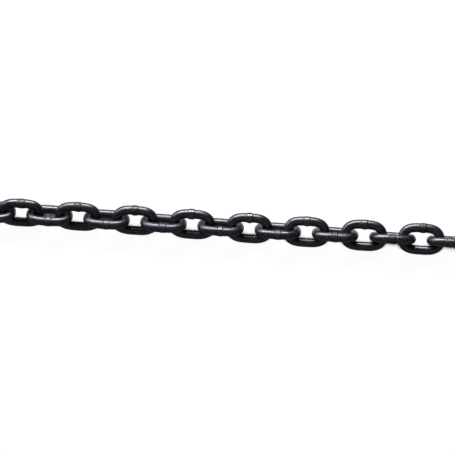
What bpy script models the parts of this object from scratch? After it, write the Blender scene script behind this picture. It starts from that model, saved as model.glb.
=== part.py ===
"""One metre of welded short-link lifting chain, lying straight on a level floor.

The run lies along X, with its middle at the origin and the floor at z = 0. Every link is one closed ring
of round bar. By turns the links lean to one side and to the other, as a chain does on a floor, and the run
has a slow, slightly uneven twist about its own length. The welded strand of each link is the upper one.
The middle link stands still, and every other link turns on the crown of its neighbour towards the middle.
"""

import math

import bmesh
import bpy
from mathutils import Matrix, Vector

# Driving dimensions, in metres and degrees
LINK_COUNT = 25
PITCH = 0.0400  # from the middle of one link to the middle of the next
WIRE = 0.0126  # thickness of the bar, across the flats of its section
RUNNING_GAP = 0.0004  # left where one crown bears on the next
PLAIN_REACH = 0.0145  # from the chain's axis to the middle of the plain strand
WELDED_REACH = 0.0165  # from the chain's axis to the middle of the welded strand, which bows out
LEAN = 45.0  # of a link's plane from the floor

# Turn of the run about its own length, at links counted from the middle one, and even in between
TWIST_AT = ((-12, -19.0), (-8, -14.0), (-4, -6.0), (1, 0.0), (3, 5.5), (5, 14.0), (12, 18.0))

# The weld is a low ring of upset metal around the bar
WELD_RISE = 0.0007
WELD_HALF_TOP = 0.0020  # along the bar, where the rise is full
WELD_HALF_FOOT = 0.0045  # along the bar, where it meets the plain bar

# A link's middle line is |u / half length| ^ ALONG + |v / reach| ^ ACROSS = 1, with flat tips and strands
OUTLINE_ALONG = 3.3
OUTLINE_ACROSS = 2.3
OUTLINE_ANGLES = (8.0, 22.0, 38.0, 56.0, 78.0)  # of the corners in one quarter, from tip to strand
SIDES = 12  # flats around the bar
SMOOTH_BELOW = 40.0  # edges less sharp than this are shaded smooth

STEEL_COLOUR = (0.022, 0.020, 0.024, 1.0)
STEEL_METALLIC = 0.85
STEEL_ROUGHNESS = 0.42

HALF_LENGTH = (PITCH + RUNNING_GAP + WIRE) / 2  # from a link's middle to the middle of the bar at its tip
CORNER = WIRE / 2 / math.cos(math.pi / SIDES)  # from the middle of the bar to a corner of its section
MIDDLE = LINK_COUNT // 2


def clear_scene():
    for obj in list(bpy.data.objects):
        bpy.data.objects.remove(obj, do_unlink=True)


def black_steel():
    """Heat-treated alloy steel, blackened and lightly oiled."""
    material = bpy.data.materials.new("black_steel")
    material.use_nodes = True
    shader = material.node_tree.nodes["Principled BSDF"]
    shader.inputs["Base Color"].default_value = STEEL_COLOUR
    shader.inputs["Metallic"].default_value = STEEL_METALLIC
    shader.inputs["Roughness"].default_value = STEEL_ROUGHNESS
    return material


def outline_quarter(reach):
    """(u, v) corners of one quarter of a link's middle line, from its tip to its strand."""
    corners = []
    for angle in map(math.radians, OUTLINE_ANGLES):
        u = HALF_LENGTH * math.cos(angle) ** (2 / OUTLINE_ALONG)
        v = reach * math.sin(angle) ** (2 / OUTLINE_ACROSS)
        corners.append([u, v])
    corners[0][0] = HALF_LENGTH
    corners[-1][1] = reach
    return corners


def middle_line():
    """(u, v, rise) corners all round a link, anticlockwise from the right tip. The rise is the weld's."""
    welded = outline_quarter(WELDED_REACH)
    plain = outline_quarter(PLAIN_REACH)
    weld = [
        (WELD_HALF_FOOT, 0.0),
        (WELD_HALF_TOP, WELD_RISE),
        (-WELD_HALF_TOP, WELD_RISE),
        (-WELD_HALF_FOOT, 0.0),
    ]
    line = [(u, v, 0.0) for u, v in welded]
    line += [(u, WELDED_REACH, rise) for u, rise in weld]
    line += [(-u, v, 0.0) for u, v in reversed(welded)]
    line += [(-u, -v, 0.0) for u, v in plain]
    line += [(u, -v, 0.0) for u, v in reversed(plain)]
    return line


def link_mesh():
    """A closed bar of SIDES flats along the middle line, mitred at each corner so that faces are flat."""
    line = middle_line()
    bm = bmesh.new()
    rings = []
    for index, (u, v, rise) in enumerate(line):
        here = Vector((u, v))
        before = (here - Vector(line[index - 1][:2])).normalized()
        after = (Vector(line[(index + 1) % len(line)][:2]) - here).normalized()
        along = (before + after).normalized()
        mitre = 1 / along.dot(after)
        outward = Vector((along.y, -along.x)) * mitre
        ring = []
        for side in range(SIDES):
            angle = math.tau * (side + 0.5) / SIDES
            out = (CORNER + rise) * math.cos(angle)
            up = (CORNER + rise) * math.sin(angle)
            ring.append(bm.verts.new((u + outward.x * out, v + outward.y * out, up)))
        rings.append(ring)
    for first, second in zip(rings, rings[1:] + rings[:1]):
        for side in range(SIDES):
            following = (side + 1) % SIDES
            bm.faces.new((first[side], second[side], second[following], first[following]))
    bmesh.ops.recalc_face_normals(bm, faces=bm.faces)
    mesh = bpy.data.meshes.new("link")
    bm.to_mesh(mesh)
    bm.free()
    mesh.shade_smooth()
    mesh.set_sharp_from_angle(angle=math.radians(SMOOTH_BELOW))
    return mesh


def twist_at(step):
    """Degrees by which the run is turned at the link that is this many steps from the middle one."""
    step = max(-MIDDLE, min(MIDDLE, step))
    for (start, low), (end, high) in zip(TWIST_AT, TWIST_AT[1:]):
        if start <= step <= end:
            return low + (high - low) * (step - start) / (end - start)


def rest_height(step):
    """Height of the chain's axis where the steeper of two neighbours stands on its plain strand."""
    twist = abs(math.radians(twist_at(step)))
    return PLAIN_REACH * math.sin(math.radians(LEAN) + twist) + CORNER * math.cos(twist)


def crossing(step):
    """Where the axis passes from the link at this step to the next one."""
    return Vector(((step + 0.5) * PITCH, 0, (rest_height(step) + rest_height(step + 1)) / 2))


def link_frame(step):
    """Matrix of a link: X along the chain, Y to the weld, Z square to the link, origin in its middle."""
    start, end = crossing(step - 1), crossing(step)
    along = (end - start).normalized()
    side = 1 if step % 2 == 0 else -1
    lean = math.radians(LEAN - side * twist_at(step))
    to_weld = Vector((0, side * math.cos(lean), math.sin(lean)))
    to_weld = (to_weld - along * along.dot(to_weld)).normalized()
    matrix = Matrix((along, to_weld, along.cross(to_weld))).transposed().to_4x4()
    matrix.translation = (start + end) / 2
    return matrix


def set_down(frames, mesh):
    """Lowers or lifts the whole run until its lowest corner touches the floor."""
    lowest = min((frame @ vertex.co).z for frame in frames.values() for vertex in mesh.vertices)
    for frame in frames.values():
        frame.translation.z -= lowest


def place(obj, parent, parent_frame, frame):
    """Parents the object so that it stands at this frame in the world."""
    bpy.context.scene.collection.objects.link(obj)
    obj.parent = parent
    obj.matrix_local = parent_frame.inverted() @ frame


def build_chain():
    """The middle link, then each half outwards. A pivot on its neighbour's crown carries each link."""
    mesh = link_mesh()
    mesh.materials.append(black_steel())
    frames = {step: link_frame(step) for step in range(-MIDDLE, MIDDLE + 1)}
    set_down(frames, mesh)
    root = bpy.data.objects.new(f"link_{MIDDLE + 1:02d}", mesh)
    place(root, None, Matrix.Identity(4), frames[0])
    for outwards in (-1, 1):
        carrier, carrier_frame = root, frames[0]
        for step in range(outwards, outwards * (MIDDLE + 1), outwards):
            name = f"link_{MIDDLE + 1 + step:02d}"
            pivot_frame = frames[step].copy()
            pivot_frame.translation = carrier_frame @ Vector((outwards * HALF_LENGTH, 0, 0))
            pivot = bpy.data.objects.new(f"{name}_pivot", None)
            pivot.empty_display_size = WIRE
            place(pivot, carrier, carrier_frame, pivot_frame)
            link = bpy.data.objects.new(name, mesh)
            place(link, pivot, pivot_frame, frames[step])
            carrier, carrier_frame = link, frames[step]


clear_scene()
build_chain()
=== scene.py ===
import math

import bpy
import numpy as np
from mathutils import Matrix, Vector


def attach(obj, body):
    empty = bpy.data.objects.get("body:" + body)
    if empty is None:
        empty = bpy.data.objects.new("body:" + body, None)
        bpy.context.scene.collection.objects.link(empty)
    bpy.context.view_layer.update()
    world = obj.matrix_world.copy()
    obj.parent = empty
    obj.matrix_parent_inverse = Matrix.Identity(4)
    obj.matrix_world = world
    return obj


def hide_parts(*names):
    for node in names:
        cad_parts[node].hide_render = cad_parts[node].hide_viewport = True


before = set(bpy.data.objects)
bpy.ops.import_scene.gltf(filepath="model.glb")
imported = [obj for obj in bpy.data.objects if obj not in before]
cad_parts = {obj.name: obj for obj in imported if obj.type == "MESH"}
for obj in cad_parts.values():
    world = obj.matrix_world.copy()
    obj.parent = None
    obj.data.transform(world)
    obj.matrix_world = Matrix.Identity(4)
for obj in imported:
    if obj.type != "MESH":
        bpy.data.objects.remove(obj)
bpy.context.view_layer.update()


# The links. Each is a length of round alloy-steel bar, cut, bent to an oval round a former and butt-welded
# once in the middle of one long side, where trimming leaves a low, shallowly ribbed collar. It is threaded
# through its neighbour before it is welded, so nothing else fixes it, and every link is its own body.

LINK_COUNT = 25
MIDDLE = LINK_COUNT // 2
PITCH = 0.0400  # from the middle of one link to the middle of the next
BAR_RADIUS = 0.00645
PLAIN_REACH = 0.0145  # from the chain's axis to the middle of the plain strand
WELDED_REACH = 0.0165  # the same to the welded strand, which bows out
SOLID_FLATS = 0.0126  # across the flats of the plain solid's bar, which has 12 of them
SOLID_GAP = 0.0004  # between the plain solids' crowns
SOLID_CORNER = SOLID_FLATS / 2 / math.cos(math.pi / 12)  # from the middle of the bar to a corner
HALF_LENGTH = (PITCH + SOLID_GAP + SOLID_FLATS) / 2  # from a link's middle to the middle of its crown's bar

# How the run lies: pulled straight on a level floor, its links lean by turns to one side and to the other,
# and it keeps a slow twist from when it was laid down
LEAN = 45.0  # of a link's plane from the floor, in degrees
TWIST_STEPS = (-12, -8, -4, 1, 3, 5, 12)  # links, counted from the middle one
TWIST_DEGREES = (-19.0, -14.0, -6.0, 0.0, 5.5, 14.0, 18.0)  # turn of the run about its own length there
LIFTED = 0.000273  # by which the whole run was raised when it was set down on its lowest corner


def twist_at(step):
    """Turn of the run at a link: even in between the links where it is given."""
    return float(np.interp(step, TWIST_STEPS, TWIST_DEGREES))


def axis_height(step):
    """Axis height at a link that stands on its plain strand: reach x sine of its lean, plus half a bar."""
    twist = abs(math.radians(twist_at(step)))
    return PLAIN_REACH * math.sin(math.radians(LEAN) + twist) + SOLID_CORNER * math.cos(twist)


def crossing(step):
    """Where the axis passes from one link to the next: halfway between them, at their mean height."""
    height = (axis_height(step) + axis_height(step + 1)) / 2 + LIFTED
    return Vector(((step + 0.5) * PITCH, 0, height))


def link_frame(step):
    """Place of a link as a 4x4 array: X along the run, Y to the weld, Z square to the link."""
    start, end = crossing(step - 1), crossing(step)
    along = (end - start).normalized()
    side = 1 if step % 2 == 0 else -1
    lean = math.radians(LEAN - side * twist_at(step))
    to_weld = Vector((0, side * math.cos(lean), math.sin(lean)))
    to_weld = (to_weld - along * along.dot(to_weld)).normalized()
    matrix = Matrix((along, to_weld, along.cross(to_weld))).transposed().to_4x4()
    matrix.translation = (start + end) / 2
    return np.array(matrix)


# The middle line of a link's bar is |u / half length| ^ ALONG + |v / reach| ^ ACROSS = 1
OUTLINE_ALONG = 3.3
OUTLINE_ACROSS = 2.3
OUTLINE_POINTS = 40001
SPACING_POINTS = 8001
SIDES = 44  # faces around the bar
FINE_STEP = 0.00026  # between rings at the weld
COARSE_STEP = 0.00115  # between rings elsewhere
FINE_REACH = 0.0068  # how far from the weld the rings stand close
STEP_BLEND = 0.0006  # over which the step changes
SEAT_WEAR = 0.00005  # worn off the inside of a crown
THINNED = 0.00022  # by which bending draws the bar thinner on the outside of a crown
CROWN_SHARPNESS = 6  # how suddenly a crown begins, as a power of the outward normal's share along the run
SEAT_SHARPNESS = 4  # the same for the seat and the thinned outside, as powers of the cosine around the bar
OUTER_SHARPNESS = 2


def outline():
    """Fine (u, v) points of a closed superellipse, anticlockwise from the right tip: u goes as the cosine of
    the angle to the power 2 / OUTLINE_ALONG, v as its sine to the power 2 / OUTLINE_ACROSS, with a longer
    reach on the welded side than on the plain one."""
    angle = np.linspace(0, 2 * np.pi, OUTLINE_POINTS)
    cosine, sine = np.cos(angle), np.sin(angle)
    u = HALF_LENGTH * np.sign(cosine) * np.abs(cosine) ** (2 / OUTLINE_ALONG)
    reach = np.where(sine > 0, WELDED_REACH, PLAIN_REACH)
    v = reach * np.sign(sine) * np.abs(sine) ** (2 / OUTLINE_ACROSS)
    return u, v


def outline_normal(u, v):
    """Outward (u, v) direction at a point of the middle line: the gradient of the superellipse's equation."""
    reach = np.where(v > 0, WELDED_REACH, PLAIN_REACH)
    across = np.sign(v) * np.abs(v / reach) ** (OUTLINE_ACROSS - 1) * OUTLINE_ACROSS / reach
    lengthwise = np.sign(u) * np.abs(u / HALF_LENGTH) ** (OUTLINE_ALONG - 1) * OUTLINE_ALONG / HALF_LENGTH
    steep = np.hypot(across, lengthwise)
    return lengthwise / steep, across / steep


def spaced_rings(length, weld_at):
    """Places of the rings along the middle line. Their density is the inverse of the wished step, which
    grows smoothly from fine to coarse with distance from the weld, and they are even in its running sum."""
    along = np.linspace(0, length, SPACING_POINTS)
    off = np.abs(along - weld_at)
    blend = 1 / (1 + np.exp(-(off - FINE_REACH) / STEP_BLEND))
    density = 1 / (FINE_STEP + (COARSE_STEP - FINE_STEP) * blend)
    total = np.concatenate([[0], np.cumsum((density[1:] + density[:-1]) / 2 * np.diff(along))])
    count = int(total[-1])
    return np.interp(np.arange(count) * total[-1] / count, total, along)


# Each weld in the picture: its distance from its strand's middle, how brightly its trimmed top shines, and
# how high it stands. Every other link draws its own between the limits that follow
WELDS = {
    -8: (0.0006, 0.10, 0.00045),
    -7: (0.0000, 0.35, 0.00050),
    -6: (0.0000, 0.05, 0.00050),
    -5: (0.0010, 0.60, 0.00045),
    -4: (-0.0004, 0.20, 0.00085),
    -3: (0.0000, 0.30, 0.00050),
    -2: (-0.0014, 1.00, 0.00100),
    -1: (0.0000, 0.90, 0.00055),
    0: (-0.0006, 1.00, 0.00085),
    1: (0.0005, 0.40, 0.00050),
    2: (0.0000, 1.00, 0.00050),
    3: (0.0000, 0.25, 0.00050),
    4: (0.0000, 0.80, 0.00045),
    5: (0.0000, 0.20, 0.00055),
    6: (0.0018, 0.05, 0.00055),
}
WELD_OFF = (-0.0010, 0.0010)
WELD_SHINE = (0.2, 0.8)
WELD_HEIGHT = (0.00042, 0.00055)
WELD_LIMIT = 0.00115  # the most that a collar stands over the bar
COLLAR_HALF = (0.0030, 0.0041)  # half of a collar's width
COLLAR_FLANK = 0.00026
COLLAR_FULLNESS = 0.90  # of its height, on the average around the bar
UNEVEN_COARSE, UNEVEN_FINE = 0.08, 0.05  # shares of the collar's width and height
RIB_SPACING = (0.0022, 0.0034)
RIB_RISE = 0.00006
RIB_SWAY = 0.6  # in radians of the ribs' wave
RIB_SHINE = 0.25  # share of the trimmed top's shine that goes with the ribs
BEAD_RISE = 0.00040  # of the bead inside the eye, which no trimming reaches
BEAD_HALF = 0.0016
BEAD_OFF = (-0.0012, 0.0012)
FOOT_OUT = 0.0003  # from a collar's edge to the groove at its foot
FOOT_HALF = 0.00036
FOOT_DEPTH = 0.00010
SWELLING_RISE = 0.00010
SWELLING_HALF = 0.0060


def weld_relief(off, around, height, draw):
    """Rise of the collar over the bar: a plateau between two tanh flanks with a cosine's shallow ribs on it,
    a rounded bead inside the eye, a broad low swelling under it all, and a groove along either foot. Cosines
    of the angle around make the collar uneven."""
    half = draw.uniform(*COLLAR_HALF)
    phase = draw.uniform(0, 2 * np.pi, 6)
    inside = (1 - np.cos(around)) / 2
    wider = UNEVEN_COARSE * np.cos(around + phase[0]) + UNEVEN_FINE * np.cos(3 * around + phase[1])
    higher = UNEVEN_COARSE * np.cos(2 * around + phase[2]) + UNEVEN_FINE * np.cos(5 * around + phase[3])
    half = half * (1 + wider)
    full = COLLAR_FULLNESS + higher
    plateau = 0.5 * (np.tanh((off + half) / COLLAR_FLANK) - np.tanh((off - half) / COLLAR_FLANK))
    spacing = draw.uniform(*RIB_SPACING)
    ribs = np.cos(2 * np.pi * off / spacing + phase[4] + RIB_SWAY * np.cos(around + phase[5]))
    bead = np.exp(-(((off - draw.uniform(*BEAD_OFF)) / BEAD_HALF) ** 2)) * inside**3
    foot = np.exp(-(((np.abs(off) - half - FOOT_OUT) / FOOT_HALF) ** 2))
    swelling = np.exp(-((off / SWELLING_HALF) ** 2))
    rise = full * plateau * (height + RIB_RISE * ribs)
    rise = rise + BEAD_RISE * bead - FOOT_DEPTH * foot + SWELLING_RISE * swelling
    return np.minimum(rise, WELD_LIMIT), foot, plateau * (1 - RIB_SHINE + RIB_SHINE * ribs)


WAVE_COUNT = 14
WAVE_HEIGHT = (0.000004, 0.000012)
WAVES_ALONG = (1, 12)  # whole numbers from the first up to the second, which is left out
WAVES_AROUND = (0, 4)
CROWN_SMOOTHING = 0.7  # share of the waves that bending irons out in a crown


def bar_unevenness(turn, around, draw):
    """Slight waves left by rolling and bending: a sum of cosines with whole numbers of waves along and
    around the bar, each with its own height and phase."""
    waves = np.zeros(np.broadcast_shapes(turn.shape, around.shape))
    for _ in range(WAVE_COUNT):
        lengthways, crossways = draw.integers(*WAVES_ALONG), draw.integers(*WAVES_AROUND)
        size, phase = draw.uniform(*WAVE_HEIGHT), draw.uniform(0, 2 * np.pi)
        waves += size * np.cos(lengthways * turn + crossways * around + phase)
    return waves


BURNT_REACH = 0.0060  # from the weld, over which its heat has coarsened the skin
CRUST_REACH = 0.0062  # the same for the crust on a weld that was trimmed little
HEAT_SHARPNESS = 4  # how suddenly both end, as a power of the distance in those reaches
BURNISH_GAIN, BURNISH_LOSS = 1.6, 0.5  # the seat's shine is its wear times the first, less the second
RUBBED_SIDES, RUBBED_OUTSIDE = 0.35, 0.9  # how open to rubbing a bar is, and how much more on the outside


def link_surface(step, draw):
    """A round section carried along the middle line. At each ring the point at an angle around the bar is
    the middle line's point plus radius x (cosine x outward normal + sine x the link's own Z). Given back are
    the points, the rings' places along the bar, the bar's length and the masks of its finish."""
    u, v = outline()
    run = np.concatenate([[0], np.cumsum(np.hypot(np.diff(u), np.diff(v)))])
    length = run[-1]
    drawn = draw.uniform(*WELD_OFF), draw.uniform(*WELD_SHINE), draw.uniform(*WELD_HEIGHT)
    weld_off, shine, height = WELDS.get(step, drawn)
    weld_at = run[np.argmax(v)] - weld_off
    rings = spaced_rings(length, weld_at)
    u, v = np.interp(rings, run, u), np.interp(rings, run, v)
    normal_u, normal_v = outline_normal(u, v)

    around = (2 * np.pi * np.arange(SIDES) / SIDES)[None, :]
    off = (rings - weld_at)[:, None]
    turn = (2 * np.pi * rings / length)[:, None]
    rise, foot, top_face = weld_relief(off, around, height, draw)
    crown = np.abs(normal_u[:, None]) ** CROWN_SHARPNESS
    seat = crown * np.clip(-np.cos(around), 0, 1) ** SEAT_SHARPNESS
    outer = crown * np.clip(np.cos(around), 0, 1) ** OUTER_SHARPNESS
    waves = bar_unevenness(turn, around, draw) * (1 - CROWN_SMOOTHING * crown)
    radius = BAR_RADIUS + rise + waves - SEAT_WEAR * seat - THINNED * outer
    out = radius * np.cos(around)
    up = radius * np.sin(around)
    points = np.stack([u[:, None] + normal_u[:, None] * out, v[:, None] + normal_v[:, None] * out, up], -1)
    everywhere = np.ones_like(radius)
    masks = {
        "weld": np.exp(-((off / BURNT_REACH) ** HEAT_SHARPNESS)) * everywhere,
        "foot": np.clip(foot, 0, 1),
        "trimmed": np.clip(top_face, 0, 1) * shine,
        "crust": np.exp(-((off / CRUST_REACH) ** HEAT_SHARPNESS)) * (1 - shine) * everywhere,
        "seat": np.clip(seat * BURNISH_GAIN - BURNISH_LOSS, 0, 1),
        "tone": draw.random() * everywhere,
        "rubbed": np.clip(RUBBED_SIDES + RUBBED_OUTSIDE * np.cos(around), 0, 1) * everywhere,
    }
    return points, rings, length, masks


def closed_tube(name, points, rings, length, masks):
    """A mesh object from a grid of points that closes on itself both ways, its unrolled UV map in metres
    along and around the bar, and its masks as point attributes."""
    count, sides = points.shape[:2]
    index = np.arange(count * sides).reshape(count, sides)
    next_ring = np.roll(index, -1, 0)
    corners = np.stack([index, np.roll(index, -1, 1), np.roll(next_ring, -1, 1), next_ring], -1)
    corners = corners.reshape(-1, 4)
    mesh = bpy.data.meshes.new(name)
    mesh.vertices.add(count * sides)
    mesh.vertices.foreach_set("co", points.reshape(-1))
    mesh.loops.add(corners.size)
    mesh.loops.foreach_set("vertex_index", corners.reshape(-1))
    mesh.polygons.add(len(corners))
    mesh.polygons.foreach_set("loop_start", np.arange(len(corners)) * 4)
    mesh.update(calc_edges=True)
    girth = 2 * np.pi * BAR_RADIUS * np.arange(sides + 1) / sides
    unrolled = np.stack(np.meshgrid(np.append(rings, length), girth, indexing="ij"), -1)
    quads = np.stack([unrolled[:-1, :-1], unrolled[:-1, 1:], unrolled[1:, 1:], unrolled[1:, :-1]], -2)
    mesh.uv_layers.new(name="bar").data.foreach_set("uv", quads.reshape(-1))
    for mask, values in masks.items():
        layer = mesh.attributes.new(mask, "FLOAT", "POINT")
        layer.data.foreach_set("value", values.astype(np.float32).reshape(-1))
    mesh.shade_smooth()
    obj = bpy.data.objects.new(name, mesh)
    bpy.context.scene.collection.objects.link(obj)
    return obj


# The finish: hardening and tempering leave a thin blue-black scale, which is lightly oiled. Handling rubs
# fine scratches along the bars, proof loading burnishes the seats, and the weld keeps a coarser skin
SCALE_DARK = (0.040, 0.036, 0.044, 1)
SCALE_PALE = (0.074, 0.067, 0.076, 1)
LINK_TONE = (0.056, 0.053, 0.063, 1)  # to which each link leans by its own share
WELD_DARK = (0.030, 0.026, 0.030, 1)
WELD_PALE = (0.085, 0.078, 0.086, 1)
CRUST = (0.034, 0.031, 0.036, 1)
RUBBED = (0.15, 0.145, 0.155, 1)
TRIMMED = (0.10, 0.097, 0.104, 1)
# darker in the groove along a collar's foot
FOOT_GROOVE_DARK = (0.008, 0.007, 0.008, 1)
BURNISHED = (0.25, 0.24, 0.25, 1)
SMOOTHEST, ROUGHEST = 0.24, 0.34  # roughness of the scale, from blotch to blotch
SCALE_METALLIC, BARE_METALLIC = 0.93, 1.0
NOISE_SPAN = (0.3, 0.7)  # part of a noise that is spread over 0 to 1
PIT_SPAN = (0.12, 0.34)  # from a pit's middle to its rim, in cells
RUB_EDGE = 0.08  # over which a scratch comes up out of its noise
GRAIN_HEIGHT, PIT_DEPTH, RUB_DEPTH = 0.22, 0.5, 0.25  # in the bump's own units
RELIEF = 0.00008  # metres that a height of 1 stands for
RELIEF_STRENGTH = 0.5


def add_socket(group, name, direction, kind="NodeSocketFloat", default=None):
    """Adds one named socket to a node group."""
    socket = group.interface.new_socket(name=name, in_out=direction, socket_type=kind)
    if default is not None:
        socket.default_value = default


def add_node(tree, kind, **settings):
    """Adds a node and sets its properties and, by name or number, its unlinked inputs."""
    node = tree.nodes.new(kind)
    inputs = settings.pop("inputs", {})
    for name, value in settings.items():
        setattr(node, name, value)
    for name, value in inputs.items():
        node.inputs[name].default_value = value
    return node


def set_or_link(tree, socket, given):
    """Sets an input to a number or a colour, or links it where a socket is given."""
    if isinstance(given, (int, float, tuple)):
        socket.default_value = given
    else:
        tree.links.new(given, socket)


def math_node(tree, operation, first, second, clamp=False):
    """A Math node on two sockets or numbers, whose result socket is returned."""
    node = add_node(tree, "ShaderNodeMath", operation=operation, use_clamp=clamp)
    set_or_link(tree, node.inputs[0], first)
    set_or_link(tree, node.inputs[1], second)
    return node.outputs[0]


def map_range(tree, value, low, high, to_low=0.0, to_high=1.0, smooth=True):
    """A Map Range node from low..high to to_low..to_high, clamped, whose result socket is returned."""
    node = add_node(tree, "ShaderNodeMapRange", interpolation_type="SMOOTHSTEP" if smooth else "LINEAR")
    names = ("Value", "From Min", "From Max", "To Min", "To Max")
    for name, given in zip(names, (value, low, high, to_low, to_high)):
        set_or_link(tree, node.inputs[name], given)
    return node.outputs["Result"]


def mix_colours(tree, factor, first, second):
    """A Mix node on two colours, which may be sockets or (r, g, b, 1), whose result socket is returned."""
    node = add_node(tree, "ShaderNodeMix", data_type="RGBA")
    for number, given in ((0, factor), (6, first), (7, second)):
        set_or_link(tree, node.inputs[number], given)
    return node.outputs[2]


def scale_skin_group():
    """Blotches, grains and pits of a steel skin: three noises of the place, each one finer than the last."""
    group = bpy.data.node_groups.new("scale_skin", "ShaderNodeTree")
    add_socket(group, "Place", "INPUT", "NodeSocketVector")
    add_socket(group, "Blotches per metre", "INPUT", default=90.0)
    add_socket(group, "Grains per metre", "INPUT", default=900.0)
    add_socket(group, "Pits per metre", "INPUT", default=700.0)
    add_socket(group, "Pitted share", "INPUT", default=0.3)
    for name in ("Blotch", "Grain", "Pit", "Height"):
        add_socket(group, name, "OUTPUT")
    given, result = group.nodes.new("NodeGroupInput"), group.nodes.new("NodeGroupOutput")
    noises = {}
    for name, socket, detail in (("Blotch", "Blotches per metre", 3.0), ("Grain", "Grains per metre", 4.0)):
        noise = add_node(group, "ShaderNodeTexNoise", inputs={"Detail": detail, "Roughness": 0.55})
        group.links.new(given.outputs["Place"], noise.inputs["Vector"])
        group.links.new(given.outputs[socket], noise.inputs["Scale"])
        noises[name] = map_range(group, noise.outputs["Fac"], *NOISE_SPAN, smooth=False)
        group.links.new(noises[name], result.inputs[name])
    cells = add_node(group, "ShaderNodeTexVoronoi", feature="F1", inputs={"Randomness": 1.0})
    group.links.new(given.outputs["Place"], cells.inputs["Vector"])
    group.links.new(given.outputs["Pits per metre"], cells.inputs["Scale"])
    dots = map_range(group, cells.outputs["Distance"], *PIT_SPAN, 1.0, 0.0)
    chosen = math_node(group, "LESS_THAN", cells.outputs["Color"], given.outputs["Pitted share"])
    pit = math_node(group, "MULTIPLY", dots, chosen)
    group.links.new(pit, result.inputs["Pit"])
    raised = math_node(group, "MULTIPLY", noises["Grain"], GRAIN_HEIGHT)
    sunk = math_node(group, "MULTIPLY", pit, PIT_DEPTH)
    group.links.new(math_node(group, "SUBTRACT", raised, sunk), result.inputs["Height"])
    return group


def rub_marks_group():
    """Fine scratches along a bar: noise stretched along the bar's length, of which only the peaks show."""
    group = bpy.data.node_groups.new("rub_marks", "ShaderNodeTree")
    add_socket(group, "Unrolled", "INPUT", "NodeSocketVector")
    add_socket(group, "Along", "INPUT", default=60.0)
    add_socket(group, "Around", "INPUT", default=1400.0)
    add_socket(group, "Threshold", "INPUT", default=0.62)
    add_socket(group, "Mark", "OUTPUT")
    given, result = group.nodes.new("NodeGroupInput"), group.nodes.new("NodeGroupOutput")
    scale = add_node(group, "ShaderNodeCombineXYZ", inputs={"Z": 1.0})
    group.links.new(given.outputs["Along"], scale.inputs["X"])
    group.links.new(given.outputs["Around"], scale.inputs["Y"])
    stretched = add_node(group, "ShaderNodeVectorMath", operation="MULTIPLY")
    group.links.new(given.outputs["Unrolled"], stretched.inputs[0])
    group.links.new(scale.outputs["Vector"], stretched.inputs[1])
    noise = add_node(group, "ShaderNodeTexNoise", inputs={"Scale": 1.0, "Detail": 3.0, "Distortion": 0.4})
    group.links.new(stretched.outputs["Vector"], noise.inputs["Vector"])
    edge = math_node(group, "ADD", given.outputs["Threshold"], RUB_EDGE)
    mark = map_range(group, noise.outputs["Fac"], given.outputs["Threshold"], edge)
    group.links.new(mark, result.inputs["Mark"])
    return group


def place_group(tree, group, socket, source, **inputs):
    """Places a node group, links one input and sets the others, where an underscore stands for a blank."""
    node = add_node(tree, "ShaderNodeGroup", node_tree=group)
    tree.links.new(source, node.inputs[socket])
    for name, value in inputs.items():
        node.inputs[name.replace("_", " ")].default_value = value
    return node


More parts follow.
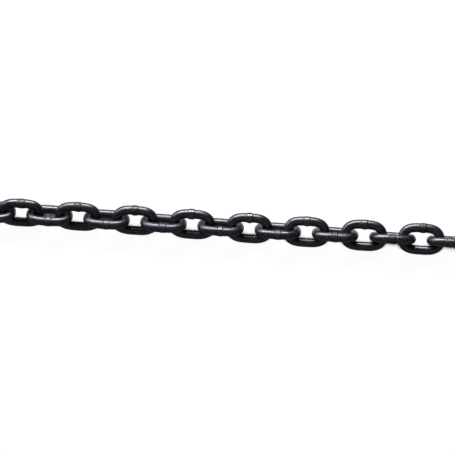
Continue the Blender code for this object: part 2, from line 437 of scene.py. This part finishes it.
def black_steel():
    """Near-black scale in blotches. It is paler where it is rubbed, burnished or trimmed, and darker along
    the foot of a collar."""
    material = bpy.data.materials.new("black_steel")
    material.use_nodes = True
    tree = material.node_tree
    shader = tree.nodes["Principled BSDF"]
    place = tree.nodes.new("ShaderNodeTexCoord").outputs["Object"]
    unrolled = add_node(tree, "ShaderNodeUVMap", uv_map="bar").outputs["UV"]
    masks = {}
    for name in ("weld", "foot", "trimmed", "crust", "seat", "tone", "rubbed"):
        masks[name] = add_node(tree, "ShaderNodeAttribute", attribute_name=name).outputs["Fac"]

    skin_group = scale_skin_group()
    skin = place_group(tree, skin_group, "Place", place, Blotches_per_metre=85.0, Grains_per_metre=1100.0,
                       Pits_per_metre=650.0, Pitted_share=0.22)
    burnt = place_group(tree, skin_group, "Place", place, Blotches_per_metre=420.0, Grains_per_metre=1900.0,
                        Pits_per_metre=1500.0, Pitted_share=0.45)
    rubs = place_group(tree, rub_marks_group(), "Unrolled", unrolled, Along=70.0, Around=1500.0,
                       Threshold=0.60)

    rub = math_node(tree, "MULTIPLY", rubs.outputs["Mark"], masks["rubbed"], clamp=True)
    patchy = map_range(tree, burnt.outputs["Blotch"], 0.25, 0.8, 0.45, 1.0)
    trimmed = math_node(tree, "MULTIPLY", masks["trimmed"], patchy, clamp=True)
    crust = math_node(tree, "MULTIPLY", masks["crust"], map_range(tree, burnt.outputs["Blotch"], 0.2, 0.7))

    colour = mix_colours(tree, skin.outputs["Blotch"], SCALE_DARK, SCALE_PALE)
    weld_colour = mix_colours(tree, burnt.outputs["Blotch"], WELD_DARK, WELD_PALE)
    for share, laid_over in (
        (masks["tone"], LINK_TONE),
        (masks["weld"], weld_colour),
        (crust, CRUST),
        (math_node(tree, "MULTIPLY", rub, 0.5), RUBBED),
        (trimmed, TRIMMED),
        (math_node(tree, "MULTIPLY", masks["foot"], 0.85), FOOT_GROOVE_DARK),
        (math_node(tree, "MULTIPLY", masks["seat"], 0.8), BURNISHED),
    ):
        colour = mix_colours(tree, share, colour, laid_over)
    tree.links.new(colour, shader.inputs["Base Color"])

    rough = map_range(tree, skin.outputs["Blotch"], 0.0, 1.0, SMOOTHEST, ROUGHEST, smooth=False)
    for mark, rougher in (
        (skin.outputs["Grain"], 0.08),
        (masks["tone"], 0.06),
        (trimmed, -0.12),
        (crust, 0.22),
        (masks["foot"], 0.25),
        (masks["seat"], -0.12),
    ):
        rough = math_node(tree, "ADD", rough, math_node(tree, "MULTIPLY", mark, rougher))
    tree.links.new(rough, shader.inputs["Roughness"])

    bare = math_node(tree, "MAXIMUM", masks["seat"], rub)
    metallic = map_range(tree, bare, 0.0, 1.0, SCALE_METALLIC, BARE_METALLIC, smooth=False)
    tree.links.new(metallic, shader.inputs["Metallic"])

    height = math_node(tree, "MULTIPLY", burnt.outputs["Height"], masks["weld"])
    height = math_node(tree, "ADD", height, skin.outputs["Height"])
    height = math_node(tree, "SUBTRACT", height, math_node(tree, "MULTIPLY", rub, RUB_DEPTH))
    bump = add_node(tree, "ShaderNodeBump", inputs={"Strength": RELIEF_STRENGTH, "Distance": RELIEF})
    tree.links.new(height, bump.inputs["Height"])
    tree.links.new(bump.outputs["Normal"], shader.inputs["Normal"])
    return material


SEED = 4100

steel = black_steel()
for step in range(-MIDDLE, MIDDLE + 1):
    draw = np.random.default_rng(SEED + step)
    node = f"link_{MIDDLE + 1 + step:02d}"
    points, rings, length, masks = link_surface(step, draw)
    place = link_frame(step)
    points = points @ place[:3, :3].T + place[:3, 3]
    points[..., 2] = np.maximum(points[..., 2], 0)
    piece = closed_tube(f"chain_{node}", points, rings, length, masks)
    piece.data.materials.append(steel)
    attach(piece, node)
    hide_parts(node)


# The floor. A wide matt white table top that glows evenly of itself, so that it reads as plain white paper.
# Its glow carries painted shade: where the links above leave little sky open, as in the narrow slots between
# their strands, and only in a strip under the run, it is painted dark.

FLOOR_RADIUS = 30.0
FLOOR_CORNERS = 128
FLOOR_BASE = (0.02, 0.02, 0.02, 1)
FLOOR_WHITE = (1, 1, 1, 1)
FLOOR_GLOW = 0.962
FLOOR_ROUGHNESS = 0.9
FLOOR_SHEEN = 0.1
PAINTED_SHADE = (0.008, 0.007, 0.009, 1)
SHADE_REACH = 0.02  # how far around a place on the floor the links count
# Painted shade: below the first share of open sky the floor's glow is painted dark, above the second it is
# left white, and the two Y spans end it in front of and behind the run
SHADE_DARK, SHADE_CLEAR = 0.40, 0.50  # share of open sky below and above which the floor is dark and lit
SHADE_FRONT = (-0.007, -0.010)  # Y over which the shade ends in front of the run
SHADE_BACK = (0.012, 0.016)  # and behind it


def glowing_white_painted_shade():
    """White that gives off its own light, mixed to the painted shade's colour where little of the sky is
    open.
    """
    material = bpy.data.materials.new("glowing_white_painted_shade")
    material.use_nodes = True
    tree = material.node_tree
    shader = tree.nodes["Principled BSDF"]
    shader.inputs["Base Color"].default_value = FLOOR_BASE
    shader.inputs["Roughness"].default_value = FLOOR_ROUGHNESS
    shader.inputs["Specular IOR Level"].default_value = FLOOR_SHEEN
    shader.inputs["Emission Strength"].default_value = FLOOR_GLOW
    ground = tree.nodes.new("ShaderNodeSeparateXYZ")
    tree.links.new(tree.nodes.new("ShaderNodeTexCoord").outputs["Object"], ground.inputs[0])
    # Painted shade: ambient occlusion from the links darkens the glow's own colour, not light that falls on
    # it
    open_sky = add_node(tree, "ShaderNodeAmbientOcclusion", samples=16, inputs={"Distance": SHADE_REACH})
    lit = map_range(tree, open_sky.outputs["AO"], SHADE_DARK, SHADE_CLEAR)
    for edges in (SHADE_FRONT, SHADE_BACK):
        lit = math_node(tree, "MAXIMUM", lit, map_range(tree, ground.outputs["Y"], *edges))
    tree.links.new(mix_colours(tree, lit, PAINTED_SHADE, FLOOR_WHITE), shader.inputs["Emission Color"])
    return material


def floor_disc():
    """A flat disc round the origin at height 0, with evenly spaced corners. The steel doesn't mirror it: the
    light section gives the steel its bright table."""
    angle = 2 * np.pi * np.arange(FLOOR_CORNERS) / FLOOR_CORNERS
    corners = np.stack([FLOOR_RADIUS * np.cos(angle), FLOOR_RADIUS * np.sin(angle), 0 * angle], -1)
    mesh = bpy.data.meshes.new("floor")
    mesh.from_pydata(corners.tolist(), [], [list(range(FLOOR_CORNERS))])
    mesh.materials.append(glowing_white_painted_shade())
    obj = bpy.data.objects.new("floor", mesh)
    bpy.context.scene.collection.objects.link(obj)
    obj.visible_glossy = False
    return obj


floor_disc()


# The light. A long window-like softbox stands behind the chain, a weaker one to its left, and a faint one
# fills from the front. The room is dim, but for the bright table behind and a pale wall ahead.

WINDOW_WHITE = (0.985, 0.985, 1.0)
SIDE_WHITE = (0.95, 0.94, 1.0)
FILL_WHITE = (1.0, 0.97, 1.0)
ROOM = (0.18, 0.165, 0.19, 1)
WALL_AHEAD = (0.6, 0.58, 0.64, 1)
TABLE_BEHIND = (3.2, 3.2, 3.4, 1)
ROOM_STRENGTH = 0.38
WALL_NEAR, WALL_TOP = (0.0, -0.5), (0.25, -0.15)  # Y and Z of a direction over which the wall comes up
TABLE_NEAR, TABLE_TOP = (0.25, 0.65), (-0.22, -0.42)  # the same for the table


def softbox(name, azimuth, elevation, distance, width, height, power, colour):
    """An area light that looks at the chain from this azimuth (0 is -Y, 90 is +X) and elevation."""
    light = bpy.data.lights.new(name, "AREA")
    light.shape = "RECTANGLE"
    light.size, light.size_y = width, height
    light.energy = power
    light.color = colour
    obj = bpy.data.objects.new(name, light)
    bpy.context.scene.collection.objects.link(obj)
    a, e = math.radians(azimuth), math.radians(elevation)
    back = Vector((math.sin(a) * math.cos(e), -math.cos(a) * math.cos(e), math.sin(e)))
    obj.location = back * distance
    obj.rotation_mode = "QUATERNION"
    obj.rotation_quaternion = back.to_track_quat("Z", "Y")


def studio_room():
    """A world whose colour goes with the direction: the table's glow from low behind, the wall's from ahead,
    and the dim room elsewhere. The camera itself sees plain white."""
    world = bpy.data.worlds.new("studio")
    world.use_nodes = True
    tree = world.node_tree
    room = tree.nodes["Background"]
    room.inputs["Strength"].default_value = ROOM_STRENGTH
    towards = tree.nodes.new("ShaderNodeSeparateXYZ")
    tree.links.new(tree.nodes.new("ShaderNodeTexCoord").outputs["Generated"], towards.inputs[0])
    ahead = map_range(tree, towards.outputs["Y"], *WALL_NEAR)
    not_high = map_range(tree, towards.outputs["Z"], *WALL_TOP)
    behind = map_range(tree, towards.outputs["Y"], *TABLE_NEAR)
    below = map_range(tree, towards.outputs["Z"], *TABLE_TOP)
    colour = mix_colours(tree, math_node(tree, "MULTIPLY", ahead, not_high), ROOM, WALL_AHEAD)
    colour = mix_colours(tree, math_node(tree, "MULTIPLY", behind, below), colour, TABLE_BEHIND)
    tree.links.new(colour, room.inputs["Color"])
    seen = add_node(tree, "ShaderNodeBackground", inputs={"Color": (1, 1, 1, 1), "Strength": 1.0})
    choice = tree.nodes.new("ShaderNodeMixShader")
    ray = tree.nodes.new("ShaderNodeLightPath")
    tree.links.new(ray.outputs["Is Camera Ray"], choice.inputs[0])
    tree.links.new(room.outputs[0], choice.inputs[1])
    tree.links.new(seen.outputs[0], choice.inputs[2])
    tree.links.new(choice.outputs[0], tree.nodes["World Output"].inputs["Surface"])
    return world


softbox("window", 200, 47, distance=2.2, width=2.1, height=0.7, power=150.0, colour=WINDOW_WHITE)
softbox("side", 250, 26, distance=2.2, width=1.0, height=0.8, power=24.0, colour=SIDE_WHITE)
softbox("fill", 10, 35, distance=3.0, width=2.5, height=1.5, power=4.0, colour=FILL_WHITE)
bpy.context.scene.world = studio_room()
bpy.context.scene.view_settings.view_transform = "Standard"


# The camera. It looks down steeply from in front with a long lens, turned a little to the right of the run,
# so that the chain crosses the picture on a slight slope and leaves it at both sides.

ELEVATION = 65.2
YAW = 4.18
TARGET = Vector((-0.03045, 0.0, 0.0170))
DISTANCE = 3.44
IMAGE_SIDE = 455
PIXELS_PER_PITCH = 28.645
SENSOR = 36.0
NEAREST, FARTHEST = 0.05, 100.0

camera_data = bpy.data.cameras.new("camera")
camera = bpy.data.objects.new("camera", camera_data)
bpy.context.scene.collection.objects.link(camera)
e, y = math.radians(ELEVATION), math.radians(YAW)
back = Vector((math.sin(y) * math.cos(e), -math.cos(y) * math.cos(e), math.sin(e)))
camera.location = TARGET + back * DISTANCE
camera.rotation_mode = "QUATERNION"
camera.rotation_quaternion = back.to_track_quat("Z", "Y")
view_width = IMAGE_SIDE / PIXELS_PER_PITCH * PITCH
camera_data.sensor_width = SENSOR
camera_data.lens = SENSOR * DISTANCE / view_width
camera_data.clip_start, camera_data.clip_end = NEAREST, FARTHEST
bpy.context.scene.camera = camera
